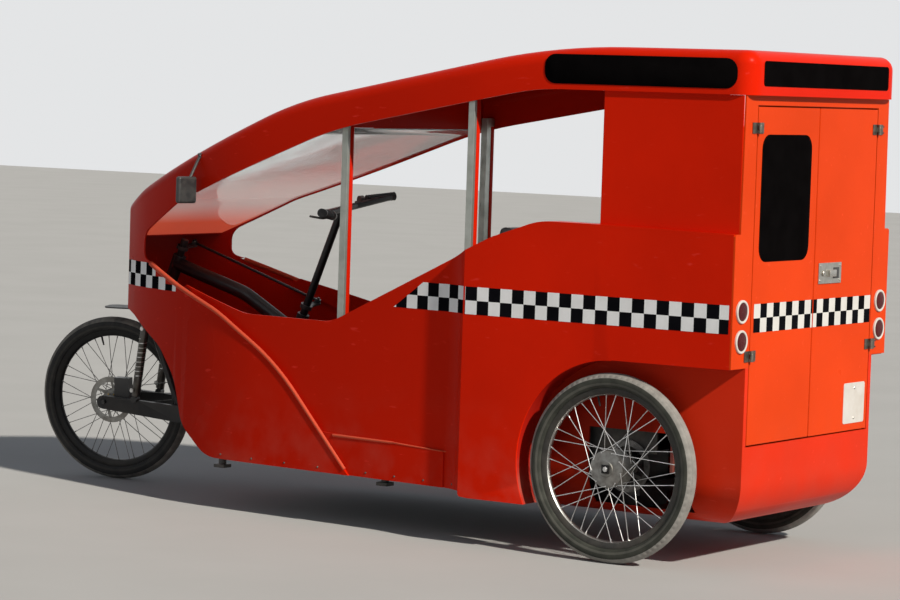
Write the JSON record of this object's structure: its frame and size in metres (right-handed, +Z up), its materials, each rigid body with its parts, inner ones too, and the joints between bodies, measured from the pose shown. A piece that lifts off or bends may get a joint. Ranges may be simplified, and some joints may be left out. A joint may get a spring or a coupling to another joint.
{
  "type": "cycle rickshaw",
  "caption": "Three-wheeled cycle rickshaw with a closed red body, open sides, arched roof hoops, wire wheels, pedal drive and double rear doors.",
  "frame": {"origin": "middle of the length and width, on the ground", "axes": "+X forward, +Y to the vehicle's left, +Z up"},
  "size_m": [3.205, 1.104, 1.6456],
  "materials": {
    "tyre_rubber": "worn, dusty",
    "wheel_steel": "dull zinc",
    "black_metal": "satin black",
    "chain_steel": "oiled",
    "clear_sheet": "clear, lightly scratched",
    "lamp_lens": "gloss red in white rings",
    "black_plastic": "satin",
    "zinc_fittings": "zinc plated",
    "pillar_alloy": "dull, red inner face",
    "seat_vinyl": "black vinyl",
    "board": "dark red paint",
    "red_panel": "moulded red, sun worn"
  },
  "bodies": {
    "chassis": {"battery_box": "black_plastic", "bench_backrest": "seat_vinyl", "bench_base": "board", "bench_cushion": "seat_vinyl", "chain": "chain_steel", "floor_pan": "red_panel", "frame": "black_metal", "front_housing": "red_panel", "gear_hub": "black_metal", "head_lamp": "lamp_lens", "jack_pads": "black_plastic", "left_cabin_side": "red_panel", "left_door_hinges": "zinc_fittings", "left_front_panel": "red_panel", "left_hoop": "red_panel", "left_pillars": "pillar_alloy", "left_rear_panel": "red_panel", "left_tail_lamps": "lamp_lens", "left_wheel_housing": "red_panel", "luggage_wall": "board", "mirror": "black_plastic", "nose_fairing": "red_panel", "rear_axle_beam": "black_metal", "rear_surround": "red_panel", "rear_tub": "red_panel", "rider_seat": "seat_vinyl", "right_cabin_side": "red_panel", "right_door_hinges": "zinc_fittings", "right_front_panel": "red_panel", "right_hoop": "red_panel", "right_pillars": "pillar_alloy", "right_rear_panel": "red_panel", "right_tail_lamps": "lamp_lens", "right_wheel_housing": "red_panel", "roof": "red_panel", "windscreen": "clear_sheet"},
    "steering": {"front_fork": "black_metal", "swing_arm": "black_metal", "front_dampers": "chain_steel", "front_mudguard": "black_plastic"},
    "front_wheel": {"front_wheel": "wheel_steel", "front_tyre": "tyre_rubber"},
    "rear_left_wheel": {"left_rear_wheel": "wheel_steel", "left_rear_tyre": "tyre_rubber"},
    "rear_right_wheel": {"right_rear_wheel": "wheel_steel", "right_rear_tyre": "tyre_rubber"},
    "handlebar": {"handlebar": "black_metal"},
    "steering_rod": {"steering_rod": "black_metal"},
    "crank": {"crank": "black_metal"},
    "left_door": {"left_door": "red_panel", "left_leaf_hinges": "zinc_fittings"},
    "right_door": {"right_door": "red_panel", "right_leaf_hinges": "zinc_fittings", "door_latch": "zinc_fittings"}
  },
  "joints": [
    {"name": "steering", "type": "hinge", "parent": "chassis", "child": "steering", "pos_m": [1.08969, 0, 0.7], "axis": [-0.3746, 0, 0.9272], "range_deg": [-47, 23]},
    {"name": "front_wheel_spin", "type": "hinge", "parent": "steering", "child": "front_wheel", "pos_m": [1.30152, 0.01023, 0.30416], "axis": [-0.1928, 0.9781, -0.0779], "continuous": true},
    {"name": "rear_left_spin", "type": "hinge", "parent": "chassis", "child": "rear_left_wheel", "pos_m": [-1.14649, 0.505, 0.305], "axis": [0, 1, 0], "continuous": true},
    {"name": "rear_right_spin", "type": "hinge", "parent": "chassis", "child": "rear_right_wheel", "pos_m": [-1.14649, -0.505, 0.305], "axis": [0, 1, 0], "continuous": true},
    {"name": "handlebar_turn", "type": "hinge", "parent": "chassis", "child": "handlebar", "pos_m": [0.48351, 0, 0.61], "axis": [-0.3746, 0, 0.9272], "range_deg": [-47, 23]},
    {"name": "rod_eye", "type": "hinge", "parent": "handlebar", "child": "steering_rod", "pos_m": [0.46064, -0.08803, 0.71656], "axis": [-0.3746, 0, 0.9272], "range_deg": [-23, 47]},
    {"name": "crank_spin", "type": "hinge", "parent": "chassis", "child": "crank", "pos_m": [0.37151, 0, 0.42], "axis": [0, 1, 0], "continuous": true},
    {"name": "left_door_swing", "type": "hinge", "parent": "chassis", "child": "left_door", "pos_m": [-1.58649, 0.4175, 0.69], "axis": [0, 0, -1], "range_deg": [0, 110]},
    {"name": "right_door_swing", "type": "hinge", "parent": "chassis", "child": "right_door", "pos_m": [-1.58649, -0.4175, 0.69], "axis": [0, 0, 1], "range_deg": [0, 110]}
  ],
  "couplings": [
    {"joint": "handlebar_turn", "follows": "steering", "ratio": 1},
    {"joint": "rod_eye", "follows": "steering", "ratio": -1}
  ]
}
